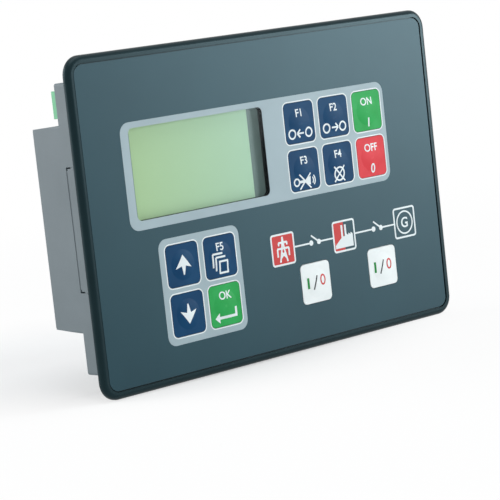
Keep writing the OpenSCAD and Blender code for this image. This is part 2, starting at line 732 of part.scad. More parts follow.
// Rear moulding: flange in the cut-out, shallow body and deep box
module rear_cover() color([0.42, 0.46, 0.49]) face_frame() difference() {
    union() {
        difference() {
            union() {
                between(-flange_t, 0) rounded(flange_w, flange_h, bezel_r - seat_w);
                difference() {
                    between(body_back, 0) rounded(body_w, body_h, cover_r);
                    translate([0, 0, body_back]) mirror([0, 0, 1])
                        edge_waste(body_w, body_h, cover_r, cover_edge);
                }
                difference() {
                    between(deep_back, 0) rounded(body_w, deep_h, cover_r);
                    for (turn = [0, 180]) rotate([0, 0, turn]) draft_waste(deep_h / 2);
                    translate([0, 0, deep_back]) mirror([0, 0, 1])
                        edge_waste(body_w, deep_h - 2 * deep_draft, cover_r, cover_edge);
                }
            }
            between(body_back + cover_wall, cut) rounded(inner_w, inner_h, cover_r);
            difference() {
                between(deep_floor, cut) rounded(inner_w, deep_inner_h, cover_r);
                for (turn = [0, 180]) rotate([0, 0, turn]) draft_waste(deep_inner_h / 2);
            }
        }
        for (turn = [0, 180]) rotate([0, 0, turn]) hook_pads();
    }
    for (turn = [0, 180]) rotate([0, 0, turn]) side_cuts();
    for (cell = [0:3]) translate([header_x(cell), header_y]) header_slot();
    for (cell = [1, 3]) translate([header_x(cell), -header_y]) header_slot();
    translate([port_x, -header_y]) between(body_back - cut, body_back + cover_wall + cut)
        port_outline(port_w - 2 * port_sheet, port_h - 2 * port_sheet);
    for (side = [-1, 1]) translate([port_x + side * port_nut_pitch / 2, -header_y])
        between(body_back - cut, body_back + cover_wall + cut) circle(d = screw_d + 2 * screw_gap);
    at_each(POST_PLACES) screw_seat(screw_gap, deep_floor + cut);
    between(deep_back - cut, deep_back + label_t) rounded(label_w, label_h, cover_r);
}

// Slot in the ledge for one header
module header_slot() between(body_back - cut, body_back + cover_wall + cut)
    square([header_w + 2 * header_gap, header_h + 2 * header_gap], center = true);

// Countersunk screw form from the deep box's back to a level, grown all round
module screw_seat(grow, top) {
    between(deep_back, top) circle(d = cover_screw_d + 2 * grow);
    translate([0, 0, deep_back]) cylinder(
        h = cover_screw_taper, d1 = cover_screw_head + 2 * grow, d2 = cover_screw_d + 2 * grow);
}

// Countersunk screws that hold the cover to the posts
module cover_screws() color([0.30, 0.31, 0.32]) face_frame() at_each(POST_PLACES) difference() {
    screw_seat(0, deep_back + cover_screw_l);
    translate([0, 0, deep_back]) mirror([0, 0, 1]) cross_recess(cover_screw_head * 0.6);
}

front_bezel();
panel_gasket();
keypad_film();
display_window();
key_up();
key_page();
key_down();
key_enter();
key_mode_left();
key_mode_right();
key_start();
key_horn_reset();
key_fault_reset();
key_stop();
key_mains_breaker();
key_generator_breaker();
display_seal();
display_frame();
display_glass();
display_light_guide();
main_board();
key_switches();
mimic_lamps();
processor();
driver_chips();
battery_holder();
clock_battery();
board_screws();
board_spacers();
board_connector();
power_board();
power_board_screws();
output_relays();
supply_capacitors();
supply_inductor();
current_sensors();
top_header_1();
top_header_2();
top_header_3();
top_header_4();
bottom_header_1();
bottom_header_2();
top_header_pins();
bottom_header_pins();
port_shell();
port_core();
port_nuts();
rear_cover();
cover_screws();
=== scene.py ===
import math

import bmesh
import bpy
from mathutils import Matrix, Quaternion, Vector


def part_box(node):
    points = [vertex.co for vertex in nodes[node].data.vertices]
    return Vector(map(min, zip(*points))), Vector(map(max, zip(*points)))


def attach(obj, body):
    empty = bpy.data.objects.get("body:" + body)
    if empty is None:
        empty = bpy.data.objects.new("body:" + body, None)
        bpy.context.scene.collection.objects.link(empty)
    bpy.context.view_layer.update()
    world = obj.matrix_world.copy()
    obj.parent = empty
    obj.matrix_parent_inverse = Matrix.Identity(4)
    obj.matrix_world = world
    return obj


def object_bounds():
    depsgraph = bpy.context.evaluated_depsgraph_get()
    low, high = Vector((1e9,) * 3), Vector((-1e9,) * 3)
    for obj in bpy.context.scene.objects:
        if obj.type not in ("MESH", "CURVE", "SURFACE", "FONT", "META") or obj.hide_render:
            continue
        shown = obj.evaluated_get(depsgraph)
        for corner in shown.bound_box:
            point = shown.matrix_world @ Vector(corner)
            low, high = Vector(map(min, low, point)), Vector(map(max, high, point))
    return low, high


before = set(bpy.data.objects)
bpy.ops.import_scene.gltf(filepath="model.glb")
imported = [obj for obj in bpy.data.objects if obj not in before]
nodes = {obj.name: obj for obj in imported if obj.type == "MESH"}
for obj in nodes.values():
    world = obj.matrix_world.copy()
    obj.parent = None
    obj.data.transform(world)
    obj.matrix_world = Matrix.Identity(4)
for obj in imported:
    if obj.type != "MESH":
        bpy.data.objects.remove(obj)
cad_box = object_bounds()
MM = 0.001

# Front bezel
# One moulding of slate-black satin plastic with a rounded rim around a shallow pocket.
# It closes the front and carries the film, the boards and the rear cover.


def srgb(red, green, blue):
    """Linear colour of a shade written as 0 to 255."""
    def linear(value):
        share = value / 255
        return share / 12.92 if share <= 0.04045 else ((share + 0.055) / 1.055) ** 2.4
    return (linear(red), linear(green), linear(blue), 1.0)


def new_finish(name):
    """Empty node material: the material, its tree and its shader."""
    material = bpy.data.materials.new(name)
    material.use_nodes = True
    tree = material.node_tree
    return material, tree, tree.nodes["Principled BSDF"]


def noise_on_object(tree, size, detail, stretch=(1, 1, 1)):
    """Noise on the piece's own coordinates, with features of a size in millimetres."""
    place = tree.nodes.new("ShaderNodeTexCoord")
    turn = tree.nodes.new("ShaderNodeMapping")
    turn.inputs["Scale"].default_value = stretch
    noise = tree.nodes.new("ShaderNodeTexNoise")
    noise.inputs["Scale"].default_value = 1 / (size * MM)
    noise.inputs["Detail"].default_value = detail
    tree.links.new(place.outputs["Object"], turn.inputs["Vector"])
    tree.links.new(turn.outputs["Vector"], noise.inputs["Vector"])
    return noise.outputs["Fac"]


def spread(tree, value, low, high, start=0.3, end=0.7):
    """Colour ramp from a low to a high colour over a value."""
    ramp = tree.nodes.new("ShaderNodeValToRGB")
    ramp.color_ramp.elements[0].position = start
    ramp.color_ramp.elements[1].position = end
    ramp.color_ramp.elements[0].color = low
    ramp.color_ramp.elements[1].color = high
    tree.links.new(value, ramp.inputs["Fac"])
    return ramp.outputs["Color"]


def between(tree, value, low, high):
    """Plain number from low to high over a value."""
    stretch = tree.nodes.new("ShaderNodeMapRange")
    stretch.inputs["To Min"].default_value = low
    stretch.inputs["To Max"].default_value = high
    tree.links.new(value, stretch.inputs["Value"])
    return stretch.outputs["Result"]


def raise_grain(tree, shader, value, height, strength, edge=0.0):
    """Bump from a value, over edges that are rounded by a radius in millimetres."""
    bump = tree.nodes.new("ShaderNodeBump")
    bump.inputs["Strength"].default_value = strength
    bump.inputs["Distance"].default_value = height * MM
    tree.links.new(value, bump.inputs["Height"])
    if edge:
        soft = tree.nodes.new("ShaderNodeBevel")
        soft.samples = 4
        soft.inputs["Radius"].default_value = edge * MM
        tree.links.new(soft.outputs["Normal"], bump.inputs["Normal"])
    tree.links.new(bump.outputs["Normal"], shader.inputs["Normal"])


def grained(name, dark, light, rough, grain, height, strength=0.5, cloud=14, edge=0.0,
            metallic=0.0, specular=0.5, sheen=(1, 1, 1, 1), stretch=(1, 1, 1)):
    """Finish with a cloudy shade, a fine grain in the relief and an uneven gloss."""
    material, tree, shader = new_finish(name)
    clouds = noise_on_object(tree, cloud, 4.0)
    fine = noise_on_object(tree, grain, 2.0, stretch)
    tree.links.new(spread(tree, clouds, dark, light), shader.inputs["Base Color"])
    tree.links.new(between(tree, fine, *rough), shader.inputs["Roughness"])
    raise_grain(tree, shader, fine, height, strength, edge)
    shader.inputs["Metallic"].default_value = metallic
    shader.inputs["Specular IOR Level"].default_value = specular
    shader.inputs["Specular Tint"].default_value = sheen
    return material


def dress(material, *names):
    """Gives a finish to the frame's own solids."""
    for name in names:
        slots = nodes[name].data.materials
        slots.clear()
        slots.append(material)


bezel_black = grained("bezel_black", srgb(14, 32, 36), srgb(20, 38, 42), rough=(0.28, 0.38),
                      grain=0.5, height=0.01, strength=0.2, specular=0.18, sheen=(0.6, 0.9, 1.0, 1.0))
dress(bezel_black, "front_bezel")


def shade_slot(material, film, gap, black):
    """Paints shadow into the slot between the rim and the film, below the film's front: the colour turns
    black there.
    """
    low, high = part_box(film)
    tree = material.node_tree
    shader = tree.nodes["Principled BSDF"]
    plain = shader.inputs["Base Color"].links[0].from_socket
    place = tree.nodes.new("ShaderNodeTexCoord")
    axes = tree.nodes.new("ShaderNodeSeparateXYZ")
    tree.links.new(place.outputs["Object"], axes.inputs["Vector"])
    panel_seat = 0.0
    spans = {"X": (low[0] - gap, high[0] + gap), "Y": (low[1], panel_seat),
             "Z": (low[2] - gap, high[2] + gap)}
    inside = None
    for axis, (start, end) in spans.items():
        within = tree.nodes.new("ShaderNodeMath")
        within.operation = "COMPARE"
        within.inputs[1].default_value = (start + end) / 2
        within.inputs[2].default_value = (end - start) / 2
        tree.links.new(axes.outputs[axis], within.inputs[0])
        if inside:
            both = tree.nodes.new("ShaderNodeMath")
            both.operation = "MULTIPLY"
            tree.links.new(inside, both.inputs[0])
            tree.links.new(within.outputs[0], both.inputs[1])
            inside = both.outputs[0]
        else:
            inside = within.outputs[0]
    # Painted shadow: the moulding's colour is mixed to black inside the slot.
    darken = tree.nodes.new("ShaderNodeMixRGB")
    darken.inputs["Color2"].default_value = black
    tree.links.new(inside, darken.inputs["Fac"])
    tree.links.new(plain, darken.inputs["Color1"])
    tree.links.new(darken.outputs["Color"], shader.inputs["Base Color"])


# Painted shadow: the bezel turns black in the slot around the film, where the slot lies in shade.
slot_gap = 0.45
painted_slot_shadow = srgb(3, 6, 8)
shade_slot(bezel_black, "keypad_film", slot_gap * MM, painted_slot_shadow)

# Panel gasket
# A square rubber cord in the groove behind the bezel.
# It seals the cut-out when the controller is drawn against the panel.

gasket_rubber = grained("gasket_rubber", srgb(30, 30, 31), srgb(42, 42, 43), rough=(0.7, 0.9),
                        grain=0.8, height=0.05, specular=0.3)
dress(gasket_rubber, "panel_gasket")

# Keypad film
# A matt polyester film, printed from behind and glued into the bezel's pocket.
# It is slate grey, with openings for the window and the twelve keys.

film_slate = grained("film_slate", srgb(14, 50, 60), srgb(22, 58, 68), rough=(0.36, 0.46),
                     grain=0.25, height=0.01, strength=0.3, cloud=60, specular=0.29,
                     sheen=(0.7, 0.92, 1.0, 1.0))
dress(film_slate, "keypad_film")

# Printed fields
# Pale grey ink on the film, one field behind the display and the command keys
# and one behind the navigation keys. Each leaves the keys and the window open.

INK_SUNK = 0.01
INK_PROUD = 0.03


def front_level(name):
    """Level of a solid's front on the face, in millimetres towards the viewer."""
    return -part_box(name)[0][1] / MM


def face_middle(name):
    """Middle of a solid on the face, in millimetres."""
    low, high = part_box(name)
    return (low[0] + high[0]) / 2 / MM, (low[2] + high[2]) / 2 / MM


def rounded_loop(x, y, w, h, r):
    """Outline of a rounded rectangle about a middle."""
    steps = 6
    points = []
    for corner, (side_x, side_y) in enumerate(((1, 1), (-1, 1), (-1, -1), (1, -1))):
        for step in range(steps + 1):
            turn = math.radians(90) * (corner + step / steps)
            points.append((x + side_x * (w / 2 - r) + r * math.cos(turn),
                           y + side_y * (h / 2 - r) + r * math.sin(turn)))
    return points


def oval_loop(x, y, w, h):
    """Outline of an oval about a middle."""
    steps = 32
    turns = [2 * math.pi * step / steps for step in range(steps)]
    return [(x + w / 2 * math.cos(turn), y + h / 2 * math.sin(turn)) for turn in turns]


def stroke_loop(start, end, width):
    """Outline of a straight stroke."""
    run = Vector(end) - Vector(start)
    side = Vector((-run.y, run.x)).normalized() * width / 2
    return [tuple(Vector(start) - side), tuple(Vector(end) - side),
            tuple(Vector(end) + side), tuple(Vector(start) + side)]


def filled_mesh(name, loops, low, high):
    """Closed plate inside the loops, between two levels, in face millimetres."""
    sheet = bpy.data.curves.new(name, "CURVE")
    sheet.dimensions = "2D"
    sheet.fill_mode = "BOTH"
    sheet.extrude = (high - low) / 2
    for loop in loops:
        spline = sheet.splines.new("POLY")
        spline.points.add(len(loop) - 1)
        for point, (x, y) in zip(spline.points, loop):
            point.co = (x, y, 0, 1)
        spline.use_cyclic_u = True
    return settled_mesh(name, sheet, (low + high) / 2)


def settled_mesh(name, sheet, level):
    """Plain closed mesh of a flat curve or lettering, lifted to a level."""
    carrier = bpy.data.objects.new(name, sheet)
    bpy.context.scene.collection.objects.link(carrier)
    seen = carrier.evaluated_get(bpy.context.evaluated_depsgraph_get())
    mesh = bpy.data.meshes.new_from_object(seen)
    bpy.data.objects.remove(carrier)
    bpy.data.curves.remove(sheet)
    weld = 1e-4
    work = bmesh.new()
    work.from_mesh(mesh)
    bmesh.ops.remove_doubles(work, verts=work.verts, dist=weld)
    bmesh.ops.recalc_face_normals(work, faces=work.faces)
    bmesh.ops.translate(work, verts=work.verts, vec=(0, 0, level))
    work.to_mesh(mesh)
    work.free()
    return mesh


FACE_TO_ROW = Matrix(((MM, 0, 0, 0), (0, 0, -MM, 0), (0, MM, 0, 0), (0, 0, 0, 1)))


def laid_piece(name, parts, body, place=FACE_TO_ROW):
    """One piece from flat meshes and their inks, put in its place and on its body."""
    piece_mesh = bpy.data.meshes.new(name)
    work = bmesh.new()
    inks = []
    for mesh, ink in parts:
        if ink not in inks:
            inks.append(ink)
        known = len(work.faces)
        work.from_mesh(mesh)
        work.faces.ensure_lookup_table()
        for face in work.faces[known:]:
            face.material_index = inks.index(ink)
            face.smooth = False
        bpy.data.meshes.remove(mesh)
    bmesh.ops.transform(work, matrix=place, verts=work.verts)
    work.to_mesh(piece_mesh)
    work.free()
    for ink in inks:
        piece_mesh.materials.append(ink)
    piece = bpy.data.objects.new(name, piece_mesh)
    bpy.context.scene.collection.objects.link(piece)
    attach(piece, body)


def ink(name, shade):
    """Screen-printed ink: a slightly uneven shade with a fine mesh grain."""
    uneven = 8
    dark = srgb(*(max(value - uneven, 0) for value in shade))
    return grained(name, dark, srgb(*shade), rough=(0.40, 0.52), grain=0.2, height=0.008, strength=0.3,
                   cloud=25, specular=0.18)


grey_ink = ink("grey_ink", (164, 180, 186))
film_front = front_level("keypad_film")
key_names = [name for name in nodes if name.startswith("key_") and name != "key_switches"]
key_lip, key_gap, opening_r = 0.7, 0.2, 2.0
key_span = (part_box("key_up")[1][0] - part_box("key_up")[0][0]) / MM
opening_size = key_span - 2 * key_lip + 2 * key_gap
breaker_edge = -20.0
window_w, window_h, window_r = 64.4, 32.6, 2.0
window_middle = face_middle("display_window")
upper_x, upper_y, upper_w, upper_h, upper_r = -3.45, 15.65, 132.3, 38.1, 4.0
lower_x, lower_y, lower_w, lower_h, lower_r = -38.9, -27.2, 38.6, 38.3, 3.6
upper_field = rounded_loop(upper_x, upper_y, upper_w, upper_h, upper_r)
lower_field = rounded_loop(lower_x, lower_y, lower_w, lower_h, lower_r)
upper_holes = [rounded_loop(*window_middle, window_w, window_h, window_r)]
lower_holes = []
for name in key_names:
    x, y = face_middle(name)
    hole = rounded_loop(x, y, opening_size, opening_size, opening_r)
    if y > 0:
        upper_holes.append(hole)
    elif x < breaker_edge:
        lower_holes.append(hole)
field_low, field_high = film_front - INK_SUNK, film_front + INK_PROUD
laid_piece("printed_fields", [
    (filled_mesh("upper_field", [upper_field] + upper_holes, field_low, field_high), grey_ink),
    (filled_mesh("lower_field", [lower_field] + lower_holes, field_low, field_high), grey_ink),
], "housing")

# Key outlines
# A white ring of ink around each coloured key, on top of the grey fields.
# The two white keys have none.

white_ink = ink("white_ink", (232, 237, 238))
outline_w = 0.45
ring_size = opening_size + 2 * outline_w
rings = []
for name in key_names:
    x, y = face_middle(name)
    if y < 0 and x > breaker_edge:
        continue
    loops = [rounded_loop(x, y, ring_size, ring_size, opening_r + outline_w),
             rounded_loop(x, y, opening_size, opening_size, opening_r)]
    rings.append((filled_mesh("ring", loops, field_high - INK_SUNK, field_high + INK_PROUD), white_ink))
laid_piece("key_outlines", rings, "housing")

# Mimic diagram
# White and red ink on the film: mains pylon, load and generator in their boxes,
# with a breaker symbol on the line between each two. Lamps shine through the boxes.

red_ink = ink("red_ink", (204, 62, 60))
mimic_y = -20.9
mains_x, load_x, generator_x = 1.8, 34.1, 67.7
box_size, box_line, box_r, box_inner_r = 12.0, 0.7, 1.2, 0.6
inner_size = box_size - 2 * box_line
line_w, pylon_line = 0.6, 0.75
ink_step = 0.004
mimic_parts = []


def add_print(parts, loops, colour, base):
    """Adds one filled print, a hair above the one before it."""
    lift = ink_step * len(parts)
    parts.append((filled_mesh("print", loops, base - INK_SUNK, base + INK_PROUD + lift), colour))


def box_frame(x):
    """Rounded square outline of one mimic box."""
    return [rounded_loop(x, mimic_y, box_size, box_size, box_r),
            rounded_loop(x, mimic_y, inner_size, inner_size, box_inner_r)]


half = inner_size / 2
red_square = rounded_loop(mains_x, mimic_y, inner_size, inner_size, box_inner_r)
add_print(mimic_parts, [red_square], red_ink, film_front)
red_half = [(-half, -half), (0, -half), (0, half), (-half, half)]
add_print(mimic_parts, [[(load_x + x, mimic_y + y) for x, y in red_half]], red_ink, film_front)
for x in (mains_x, load_x, generator_x):
    add_print(mimic_parts, box_frame(x), white_ink, film_front)

pylon_strokes = [
    ((-1.9, -4.7), (-0.55, 0.4)), ((1.9, -4.7), (0.55, 0.4)),
    ((-0.55, 0.4), (0, 4.7)), ((0.55, 0.4), (0, 4.7)),
    ((-1.5, -3.2), (0.9, -1.1)), ((1.5, -3.2), (-0.9, -1.1)),
    ((-2.2, 2.6), (2.2, 2.6)), ((-3.0, 0.4), (3.0, 0.4)),
    ((-2.1, 2.6), (-2.1, 1.5)), ((2.1, 2.6), (2.1, 1.5)),
    ((-2.9, 0.4), (-2.9, -2.6)), ((2.9, 0.4), (2.9, -2.6)),
]
for start, end in pylon_strokes:
    place = Vector((mains_x, mimic_y))
    loop = stroke_loop(Vector(start) + place, Vector(end) + place, pylon_line)
    add_print(mimic_parts, [loop], white_ink, film_front)

works = [(-5.0, -4.4), (4.6, -4.4), (4.6, 0.2), (3.7, 0.9), (3.4, 0.1), (2.5, 0.8),
         (2.2, 0.0), (1.3, 0.6), (1.3, 4.2), (0.4, 4.2), (0.4, -0.2), (-0.6, -0.2),
         (-0.6, 4.2), (-1.5, 4.2), (-1.5, -0.6), (-5.0, -3.2)]
add_print(mimic_parts, [[(load_x + x, mimic_y + y) for x, y in works]], white_ink, film_front)

circle_d = 9.2
circle_in = circle_d - 2 * line_w
generator_ring = [oval_loop(generator_x, mimic_y, circle_d, circle_d),
                  oval_loop(generator_x, mimic_y, circle_in, circle_in)]
add_print(mimic_parts, generator_ring, white_ink, film_front)

box_reach = box_size / 2
dot_d = 2.0
blade_in, blade_rise = 0.2, 2.8
breakers = ((mains_x, load_x, 16.45, 20.5), (load_x, generator_x, 50.2, 54.25))
for left_x, right_x, dot_x, blade_x in breakers:
    for start, end in (((left_x + box_reach, mimic_y), (dot_x, mimic_y)),
                       ((blade_x, mimic_y), (right_x - box_reach, mimic_y)),
                       ((blade_x, mimic_y), (dot_x + blade_in, mimic_y + blade_rise))):
        add_print(mimic_parts, [stroke_loop(start, end, line_w)], white_ink, film_front)
    for x in (dot_x, blade_x):
        add_print(mimic_parts, [oval_loop(x, mimic_y, dot_d, dot_d)], white_ink, film_front)


def letter_mesh(words, x, y, height, level, thick=0.02):
    """Plain lettering about a middle, with a cap height in millimetres."""
    text = bpy.data.curves.new(words, "FONT")
    text.body = words
    text.align_x = "CENTER"
    cap_share, weight = 0.72, 0.02
    text.size = height / cap_share
    text.offset = weight * height
    text.extrude = thick
    mesh = settled_mesh(words, text, level)
    low = min(vertex.co.y for vertex in mesh.vertices)
    high = max(vertex.co.y for vertex in mesh.vertices)
    for vertex in mesh.vertices:
        vertex.co.x += x
        vertex.co.y += y - (low + high) / 2
    return mesh


sign_h, sign_lift = 4.0, 0.02
sign = letter_mesh("G", generator_x, mimic_y, sign_h, film_front + sign_lift)
mimic_parts.append((sign, white_ink))
laid_piece("mimic_diagram", mimic_parts, "housing")

# Display
# A reflective green cell in a pressed steel frame, with a foam seal to the bezel's wall
# and a clear pane over the window. The viewed area is lit by a guide behind the cell.


def span(tree, value, low, high):
    """Zero to one over a length between two places in millimetres."""
    stretch = tree.nodes.new("ShaderNodeMapRange")
    stretch.inputs["From Min"].default_value = low * MM
    stretch.inputs["From Max"].default_value = high * MM
    tree.links.new(value, stretch.inputs["Value"])
    return stretch.outputs["Result"]


pane_clear, tree, shader = new_finish("pane_clear")
shader.inputs["Base Color"].default_value = srgb(40, 44, 44)
shader.inputs["Roughness"].default_value = 0.12
shader.inputs["Alpha"].default_value = 0.06
haze = noise_on_object(tree, 3.0, 2.0)
raise_grain(tree, shader, haze, 0.002, 0.1)
dress(pane_clear, "display_window")

seal_foam = grained("seal_foam", srgb(10, 14, 16), srgb(18, 23, 25), rough=(0.85, 0.98),
                    grain=0.5, height=0.1, specular=0.2)
dress(seal_foam, "display_seal")
frame_steel = grained("frame_steel", srgb(22, 28, 30), srgb(32, 38, 40), rough=(0.45, 0.6),
                      grain=0.6, height=0.01, metallic=0.6)
dress(frame_steel, "display_frame")
cell_border = grained("cell_border", srgb(88, 108, 104), srgb(96, 116, 112), rough=(0.3, 0.4),
                      grain=1.0, height=0.004, strength=0.1, specular=0.2)
# Painted light: the border glows a little, though it is no lamp, to lift it out of the shade of the
# recess and the pane.
border_shader = cell_border.node_tree.nodes["Principled BSDF"]
border_shader.inputs["Emission Color"].default_value = srgb(98, 121, 117)
border_shader.inputs["Emission Strength"].default_value = 0.3
dress(cell_border, "display_glass")
guide_white = grained("guide_white", srgb(222, 228, 220), srgb(236, 240, 232), rough=(0.3, 0.4),
                      grain=1.0, height=0.01)
dress(guide_white, "display_light_guide")

view_left, view_right = -63.5, -6.8
cell_green, tree, shader = new_finish("cell_green")
place = tree.nodes.new("ShaderNodeTexCoord")
axes = tree.nodes.new("ShaderNodeSeparateXYZ")
tree.links.new(place.outputs["Object"], axes.inputs["Vector"])
across = span(tree, axes.outputs["X"], view_left, view_right)
shade = spread(tree, across, srgb(170, 203, 152), srgb(170, 207, 176), 0, 1)
tree.links.new(shade, shader.inputs["Base Color"])
tree.links.new(shade, shader.inputs["Emission Color"])
shader.inputs["Emission Strength"].default_value = 0.15
shader.inputs["Specular IOR Level"].default_value = 0.2
dots = noise_on_object(tree, 0.3, 0.0)
tree.links.new(between(tree, dots, 0.35, 0.42), shader.inputs["Roughness"])
glass_front = front_level("display_glass")
view_lap, view_r = 1.5, 0.5
view_w, view_h = view_right - view_left, window_h + 2 * view_lap
view_loop = rounded_loop((view_left + view_right) / 2, window_middle[1], view_w, view_h, view_r)
view_mesh = filled_mesh("display_view", [view_loop], glass_front - INK_SUNK, glass_front + INK_PROUD)
laid_piece("display_view", [(view_mesh, cell_green)], "housing")

# Keys
# Twelve caps in printed colours, each with a round snap dome raised in it.
# Each carries its symbol in ink that follows the dome, and presses on a switch behind.


def key_print(name, dark, light):
    """Printed colour of a key cap, slightly uneven and nearly matt."""
    return grained(name, dark, light, rough=(0.38, 0.5), grain=0.25, height=0.01, strength=0.3,
                   cloud=8, specular=0.08)


key_finishes = {
    "key_blue": key_print("key_blue", srgb(7, 57, 94), srgb(12, 66, 104)),
    "key_green": key_print("key_green", srgb(40, 156, 74), srgb(54, 168, 90)),
    "key_red": key_print("key_red", srgb(214, 60, 66), srgb(224, 70, 78)),
    "key_white": key_print("key_white", srgb(234, 237, 236), srgb(242, 244, 243)),
}
key_colours = {name: "key_blue" for name in key_names}
key_colours.update({"key_start": "key_green", "key_enter": "key_green", "key_stop": "key_red",
                    "key_mains_breaker": "key_white", "key_generator_breaker": "key_white"})
for name, colour in key_colours.items():
    dress(key_finishes[colour], name)

dome_d, dome_h = 11.0, 0.4
dome_ball = (dome_d ** 2 / 4 + dome_h ** 2) / (2 * dome_h)
key_flat = front_level("key_up") - dome_h


def dome_rise(x, y):
    """Height of the snap dome over the key's flat, at a place from the key's middle."""
    out = math.hypot(x, y)
    if out >= dome_d / 2:
        return 0.0
    return math.sqrt(dome_ball ** 2 - out ** 2) - (dome_ball - dome_h)


def drape_on_dome(mesh, middle):
    """Cuts a flat print into small cells and lets it follow the key's dome."""
    cell, cells_out, touch = 0.8, 9, 1e-5
    work = bmesh.new()
    work.from_mesh(mesh)
    for axis in (Vector((1, 0, 0)), Vector((0, 1, 0))):
        for step in range(-cells_out, cells_out + 1):
            geometry = work.verts[:] + work.edges[:] + work.faces[:]
            point = Vector((middle[0], middle[1], 0)) + axis * (step + 0.5) * cell
            bmesh.ops.bisect_plane(work, geom=geometry, plane_co=point, plane_no=axis, dist=touch)
    for vertex in work.verts:
        vertex.co.z += dome_rise(vertex.co.x - middle[0], vertex.co.y - middle[1])
    work.to_mesh(mesh)
    work.free()


def arrow_up(y_sign):
    """Barbed arrow of the two scroll keys."""
    half_shape = [(0.95, -0.45), (3.75, -1.25), (0, 3.6)]
    tail = (0.25, -3.65)
    right_half = [tail] + half_shape
    left_half = [(-x, y) for x, y in reversed(half_shape[:-1])] + [(-tail[0], tail[1])]
    return [(x, y * y_sign) for x, y in right_half + left_half]


def ring_loops(x, y, w, h, line):
    """Oval ring."""
    return [oval_loop(x, y, w, h), oval_loop(x, y, w - 2 * line, h - 2 * line)]


def frame_loops(x, y, w, h, line):
    """Square ring."""
    outer_r, inner_r = 0.2, 0.1
    return [rounded_loop(x, y, w, h, outer_r), rounded_loop(x, y, w - 2 * line, h - 2 * line, inner_r)]


symbol_line, cross_line, start_line, bar_line, slash_line = 0.65, 0.6, 0.7, 1.0, 0.6


def chevron(x, y, reach, side):
    """Two strokes that meet in an arrow's tip."""
    tip = (x, y)
    return [[stroke_loop(tip, (x - side * reach, y + reach), symbol_line)],
            [stroke_loop(tip, (x - side * reach, y - reach), symbol_line)]]


def swap_symbol(side):
    """Two rings with an arrow from one to the other."""
    y, ring_d, ring_out, shaft, tip_out, barb = -4.05, 3.9, 4.3, 1.6, 1.8, 1.5
    rings_and_arrow = [ring_loops(x, y, ring_d, ring_d, symbol_line) for x in (-ring_out, ring_out)]
    rings_and_arrow.append([stroke_loop((-shaft, y), (shaft, y), symbol_line)])
    return rings_and_arrow + chevron(side * tip_out, y, barb, side)


def page_symbol():
    """Three sheets, one behind the other."""
    x, y, w, h, line, step = 1.1, -3.9, 4.6, 4.9, 0.7, 1.3
    sheets = [frame_loops(x, y, w, h, line)]
    for back in (1, 2):
        left, top = x - w / 2 - back * step, y + h / 2 + back * step
        sheets.append([stroke_loop((left, top - h), (left, top), line)])
        sheets.append([stroke_loop((left, top), (left + w, top), line)])
    return sheets


def enter_symbol():
    """Return arrow."""
    return [[[(-5.6, -4.4), (-3.4, -6.3), (-3.4, -4.9), (5.2, -4.9), (5.2, -1.3), (4.2, -1.3),
              (4.2, -3.9), (-3.4, -3.9), (-3.4, -2.5)]]]


def cross_strokes(x, y, reach_x, reach_y):
    """Two long strokes that cross a symbol out."""
    return [[stroke_loop((x - reach_x, y - reach_y), (x + reach_x, y + reach_y), cross_line)],
            [stroke_loop((x - reach_x, y + reach_y), (x + reach_x, y - reach_y), cross_line)]]


def horn_symbol():
    """Horn with its sound, crossed out."""
    y, ball_x, ball_d, neck, mouth_x, mouth, wave_line = -4.3, -4.5, 3.2, 0.5, 2.6, 1.7, 0.5
    horn = [ring_loops(ball_x, y, ball_d, ball_d, cross_line)]
    horn.append([[(-2.9, y - neck), (-2.9, y + neck), (-0.4, y + neck),
                  (mouth_x, y + mouth), (mouth_x, y - mouth), (-0.4, y - neck)]])
    bow = [math.radians(turn) for turn in range(-45, 46, 15)]
    for reach in (1.3, 2.2):
        far = reach + wave_line
        outer = [(mouth_x + far * math.cos(turn), y + far * math.sin(turn)) for turn in bow]
        inner = [(mouth_x + reach * math.cos(turn), y + reach * math.sin(turn)) for turn in bow]
        horn.append([outer + inner[::-1]])
    return horn + cross_strokes(-0.2, y, 2.9, 2.8)


def lamp_symbol():
    """Signal lamp, crossed out."""
    y, lamp_d = -4.0, 5.6
    return [ring_loops(0, y, lamp_d, lamp_d, symbol_line)] + cross_strokes(0, y, 2.7, 2.9)


symbols = {
    "key_up": [[arrow_up(1)]],
    "key_down": [[arrow_up(-1)]],
    "key_page": page_symbol(),
    "key_enter": enter_symbol(),
    "key_mode_left": swap_symbol(-1),
    "key_mode_right": swap_symbol(1),
    "key_start": [[stroke_loop((0.4, -6.1), (0.4, -2.7), start_line)]],
    "key_stop": [ring_loops(0.2, -4.4, 2.3, 3.7, symbol_line)],
    "key_horn_reset": horn_symbol(),
    "key_fault_reset": lamp_symbol(),
}
words = {"key_page": "F5", "key_enter": "OK", "key_start": "ON", "key_stop": "OFF",
         "key_mode_left": "F1", "key_mode_right": "F2", "key_horn_reset": "F3", "key_fault_reset": "F4"}
word_y, word_h, word_lift = 3.6, 2.9, 0.015
green_ink = ink("green_ink", (34, 140, 64))
dark_ink = ink("dark_ink", (44, 46, 50))


def legend(name, prints):
    """Ink of one key: filled loops and their colours, draped on its dome."""
    middle = face_middle(name)
    parts = []
    for loops, colour in prints:
        moved = [[(middle[0] + x, middle[1] + y) for x, y in loop] for loop in loops]
        add_print(parts, moved, colour, key_flat)
    if name in words:
        word = letter_mesh(words[name], middle[0], middle[1] + word_y, word_h, key_flat + word_lift)
        parts.append((word, white_ink))
    for mesh, colour in parts:
        drape_on_dome(mesh, middle)
    laid_piece(name.replace("key_", "legend_"), parts, name)


